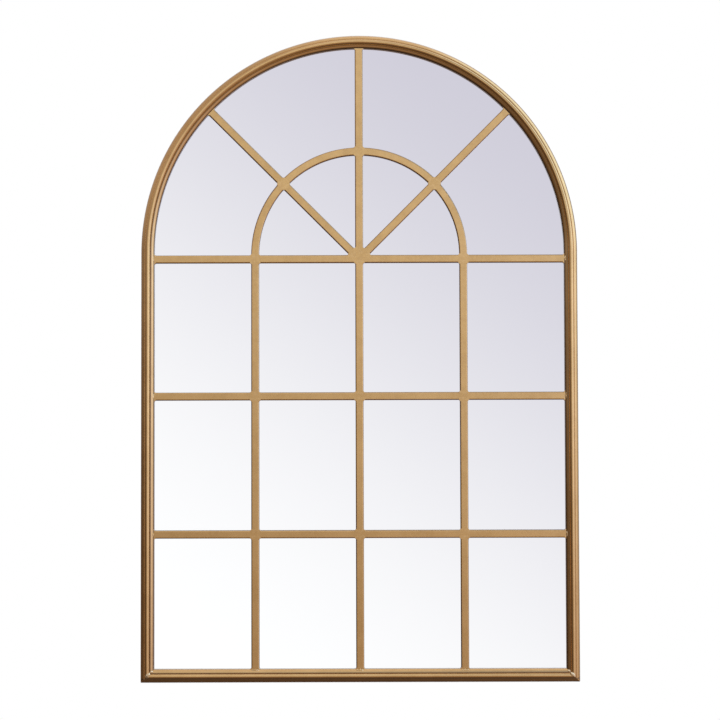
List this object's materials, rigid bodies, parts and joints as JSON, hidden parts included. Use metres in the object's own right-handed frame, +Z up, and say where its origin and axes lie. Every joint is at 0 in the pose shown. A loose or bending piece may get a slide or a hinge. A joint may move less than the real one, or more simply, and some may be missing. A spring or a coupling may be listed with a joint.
{
  "type": "arched window mirror",
  "caption": "Wall mirror shaped like an arched window: a moulded gold metal frame and a grille of flat bars over one sheet of glass, hung from D rings.",
  "frame": {"origin": "on the wall plane, midway between the two points that the mirror hangs from, on the arch's springing line", "axes": "+Z up, +Y from the mirror towards the wall, +X to the viewer's right when facing the mirror"},
  "size_m": [0.813, 0.0258, 1.2039],
  "materials": {
    "gold_frame": "satin gold paint",
    "gold_bar": "satin gold paint",
    "mirror": "silvered",
    "foam_tape": "closed-cell foam",
    "fibreboard": "smooth fibreboard",
    "zinc_plate": "zinc plated",
    "screw_steel": "zinc plated",
    "rubber": "matt"
  },
  "bodies": {
    "mirror": {"frame_arch": "gold_frame", "frame_bottom_rail": "gold_frame", "transom_bar": "gold_bar", "upper_cross_bar": "gold_bar", "lower_cross_bar": "gold_bar", "mullion_left_upper": "gold_bar", "mullion_left_middle": "gold_bar", "mullion_left_lower": "gold_bar", "mullion_centre_upper": "gold_bar", "mullion_centre_middle": "gold_bar", "mullion_centre_lower": "gold_bar", "mullion_right_upper": "gold_bar", "mullion_right_middle": "gold_bar", "mullion_right_lower": "gold_bar", "inner_arch_bar": "gold_bar", "spoke_left_inner": "gold_bar", "spoke_left_outer": "gold_bar", "spoke_centre_inner": "gold_bar", "spoke_centre_outer": "gold_bar", "spoke_right_inner": "gold_bar", "spoke_right_outer": "gold_bar", "mirror_glass": "mirror", "glazing_tape": "foam_tape", "backing_board": "fibreboard", "turn_button_screws": "screw_steel", "hanger_screws": "screw_steel", "hanger_strap_left": "zinc_plate", "hanger_strap_right": "zinc_plate", "wall_bumpers": "rubber"},
    "turn_button_left_upper": {"turn_button_left_upper": "zinc_plate"},
    "turn_button_left_lower": {"turn_button_left_lower": "zinc_plate"},
    "turn_button_bottom_left": {"turn_button_bottom_left": "zinc_plate"},
    "turn_button_right_upper": {"turn_button_right_upper": "zinc_plate"},
    "turn_button_right_lower": {"turn_button_right_lower": "zinc_plate"},
    "turn_button_bottom_right": {"turn_button_bottom_right": "zinc_plate"},
    "turn_button_arch_right": {"turn_button_arch_right": "zinc_plate"},
    "turn_button_arch_top": {"turn_button_arch_top": "zinc_plate"},
    "turn_button_arch_left": {"turn_button_arch_left": "zinc_plate"},
    "d_ring_left": {"d_ring_left": "zinc_plate"},
    "d_ring_right": {"d_ring_right": "zinc_plate"}
  },
  "joints": [
    {"name": "turn_button_left_upper_swivel", "type": "hinge", "parent": "mirror", "child": "turn_button_left_upper", "pos_m": [-0.399, -0.0053, -0.26583], "axis": [0, 1, 0], "continuous": true},
    {"name": "turn_button_left_lower_swivel", "type": "hinge", "parent": "mirror", "child": "turn_button_left_lower", "pos_m": [-0.399, -0.0053, -0.53167], "axis": [0, 1, 0], "continuous": true},
    {"name": "turn_button_bottom_left_swivel", "type": "hinge", "parent": "mirror", "child": "turn_button_bottom_left", "pos_m": [-0.20325, -0.0053, -0.79], "axis": [0, 1, 0], "continuous": true},
    {"name": "turn_button_right_upper_swivel", "type": "hinge", "parent": "mirror", "child": "turn_button_right_upper", "pos_m": [0.399, -0.0053, -0.26583], "axis": [0, 1, 0], "continuous": true},
    {"name": "turn_button_right_lower_swivel", "type": "hinge", "parent": "mirror", "child": "turn_button_right_lower", "pos_m": [0.399, -0.0053, -0.53167], "axis": [0, 1, 0], "continuous": true},
    {"name": "turn_button_bottom_right_swivel", "type": "hinge", "parent": "mirror", "child": "turn_button_bottom_right", "pos_m": [0.20325, -0.0053, -0.79], "axis": [0, 1, 0], "continuous": true},
    {"name": "turn_button_arch_right_swivel", "type": "hinge", "parent": "mirror", "child": "turn_button_arch_right", "pos_m": [0.28214, -0.0053, 0.28214], "axis": [0, 1, 0], "continuous": true},
    {"name": "turn_button_arch_top_swivel", "type": "hinge", "parent": "mirror", "child": "turn_button_arch_top", "pos_m": [0, -0.0053, 0.399], "axis": [0, 1, 0], "continuous": true},
    {"name": "turn_button_arch_left_swivel", "type": "hinge", "parent": "mirror", "child": "turn_button_arch_left", "pos_m": [-0.28214, -0.0053, 0.28214], "axis": [0, 1, 0], "continuous": true},
    {"name": "d_ring_left_swing", "type": "hinge", "parent": "mirror", "child": "d_ring_left", "pos_m": [-0.3975, -0.00322, -0.0095], "axis": [-1, 0, 0], "range_deg": [0, 175]},
    {"name": "d_ring_right_swing", "type": "hinge", "parent": "mirror", "child": "d_ring_right", "pos_m": [0.3975, -0.00322, -0.0095], "axis": [-1, 0, 0], "range_deg": [0, 175]}
  ]
}
